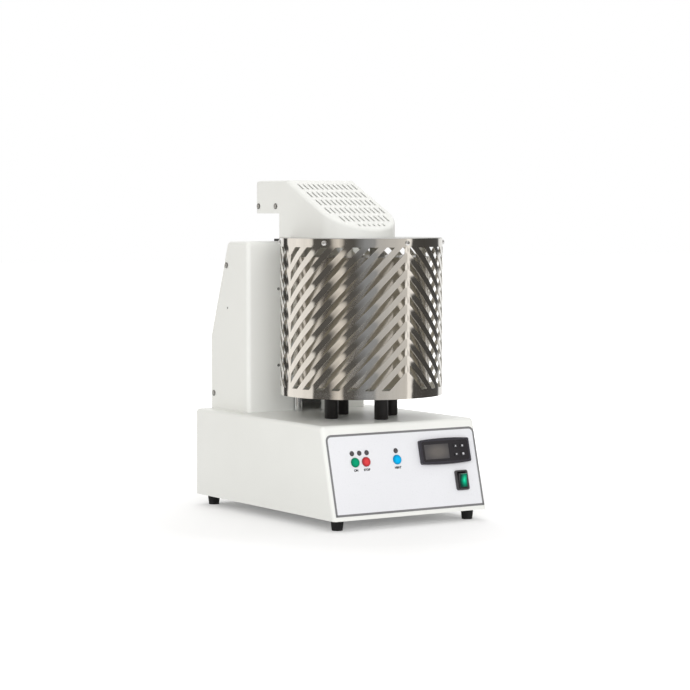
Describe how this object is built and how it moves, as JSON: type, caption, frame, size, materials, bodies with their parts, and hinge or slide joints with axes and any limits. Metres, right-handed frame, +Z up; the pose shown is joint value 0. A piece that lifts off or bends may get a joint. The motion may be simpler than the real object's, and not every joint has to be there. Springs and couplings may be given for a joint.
{
  "type": "preheating furnace",
  "caption": "Bench-top preheating furnace: wedge casing with a sloping control panel, slotted round heat guard and a vented hood that lifts on a rear column.",
  "frame": {"origin": "centre of the footprint, on the ground under the feet", "axes": "+Z up, front with the control panel towards -Y, +X to the right as seen from the front"},
  "size_m": [0.2226, 0.333, 0.416],
  "materials": {
    "casing_white": "fine textured off-white powder coat",
    "foil": "smooth printed foil, bluish white",
    "foot_rubber": "matt black",
    "screw_steel": "plain",
    "black_plastic": "fine grain",
    "controller_grey": "satin anthracite",
    "display": "dark display window",
    "key_white": "satin",
    "cap_green": "semi gloss",
    "cap_red": "semi gloss",
    "cap_blue": "semi gloss",
    "lens_grey": "smoked lens",
    "board_green": "solder mask",
    "spacer_nylon": "plain",
    "relay_grey": "plain",
    "motor_black": "satin",
    "chromed": "polished",
    "drive_steel": "plain",
    "bush_black": "plain",
    "black_metal": "satin black",
    "guard_steel": "bright rolled sheet",
    "heater_steel": "bright, slightly heat tinted",
    "ceramic_white": "matt",
    "fibre": "pressed fibre",
    "thermo_steel": "sheathed",
    "cast_alloy": "machined",
    "bronze": "machined"
  },
  "bodies": {
    "base": {"base_shell": "casing_white", "base_floor": "casing_white", "rear_panel": "casing_white", "front_foil": "foil", "feet": "foot_rubber", "foot_screws": "screw_steel", "controller_case": "controller_grey", "controller_window": "display", "switch_frame": "black_plastic", "button_board": "board_green", "board_spacers": "spacer_nylon", "led_lenses": "lens_grey", "power_inlet": "black_plastic", "fuse_holder": "black_plastic", "relay_module": "relay_grey", "control_board": "board_green", "lift_motor": "motor_black", "column_shell": "casing_white", "column_cover": "casing_white", "casing_screws": "screw_steel", "mast_bush": "bush_black", "guide_rod_left": "chromed", "guide_rod_right": "chromed", "rod_bracket": "black_metal", "post_front": "black_metal", "post_rear": "black_metal", "post_left": "black_metal", "post_right": "black_metal", "table_plate": "black_metal", "table_pad": "ceramic_white"},
    "head": {"head_plate": "black_metal", "guard_front": "guard_steel", "guard_rear": "guard_steel", "guard_screws": "screw_steel", "heater_casing": "heater_steel", "heater_bottom": "drive_steel", "muffle": "ceramic_white", "insulation": "fibre", "heater_spacers": "ceramic_white", "thermocouple": "thermo_steel", "hood_shell": "casing_white", "arm_floor": "cast_alloy", "arm_screws": "screw_steel", "mast_clamp": "cast_alloy", "mast": "chromed", "lift_nut": "bronze", "carriage": "cast_alloy", "guide_bushes": "bush_black", "back_plate": "drive_steel"},
    "screw_drive": {"lead_screw": "drive_steel"},
    "rocker": {"switch_rocker": "black_plastic"},
    "green_button": {"button_green": "cap_green"},
    "red_button": {"button_red": "cap_red"},
    "blue_button": {"button_blue": "cap_blue"},
    "key_1": {"controller_key_1": "key_white"},
    "key_2": {"controller_key_2": "key_white"},
    "key_3": {"controller_key_3": "key_white"},
    "key_4": {"controller_key_4": "key_white"}
  },
  "joints": [
    {"name": "head_lift", "type": "slide", "parent": "base", "child": "head", "axis": [0, 0, 1], "range_m": [0, 0.135]},
    {"name": "lead_screw_turn", "type": "hinge", "parent": "base", "child": "screw_drive", "pos_m": [0, 0.09455, 0.1235], "axis": [0, 0, -1], "range_deg": [0, 4865]},
    {"name": "power_rocker", "type": "hinge", "parent": "base", "child": "rocker", "pos_m": [0.0793, -0.15616, 0.04927], "axis": [-1, 0, 0], "range_deg": [0, 20]},
    {"name": "press_green", "type": "slide", "parent": "base", "child": "green_button", "axis": [0, 0.9683, -0.2497], "range_m": [0, 0.001], "stiffness_N_per_m": 500, "springref_m": -0.001},
    {"name": "press_red", "type": "slide", "parent": "base", "child": "red_button", "axis": [0, 0.9683, -0.2497], "range_m": [0, 0.001], "stiffness_N_per_m": 500, "springref_m": -0.001},
    {"name": "press_blue", "type": "slide", "parent": "base", "child": "blue_button", "axis": [0, 0.9683, -0.2497], "range_m": [0, 0.001], "stiffness_N_per_m": 500, "springref_m": -0.001},
    {"name": "press_key_1", "type": "slide", "parent": "base", "child": "key_1", "axis": [0, 0.9683, -0.2497], "range_m": [0, 0.0006], "stiffness_N_per_m": 500, "springref_m": -0.001},
    {"name": "press_key_2", "type": "slide", "parent": "base", "child": "key_2", "axis": [0, 0.9683, -0.2497], "range_m": [0, 0.0006], "stiffness_N_per_m": 500, "springref_m": -0.001},
    {"name": "press_key_3", "type": "slide", "parent": "base", "child": "key_3", "axis": [0, 0.9683, -0.2497], "range_m": [0, 0.0006], "stiffness_N_per_m": 500, "springref_m": -0.001},
    {"name": "press_key_4", "type": "slide", "parent": "base", "child": "key_4", "axis": [0, 0.9683, -0.2497], "range_m": [0, 0.0006], "stiffness_N_per_m": 500, "springref_m": -0.001}
  ],
  "couplings": [
    {"joint": "lead_screw_turn", "follows": "head_lift", "rad_per_m": 628.32}
  ]
}
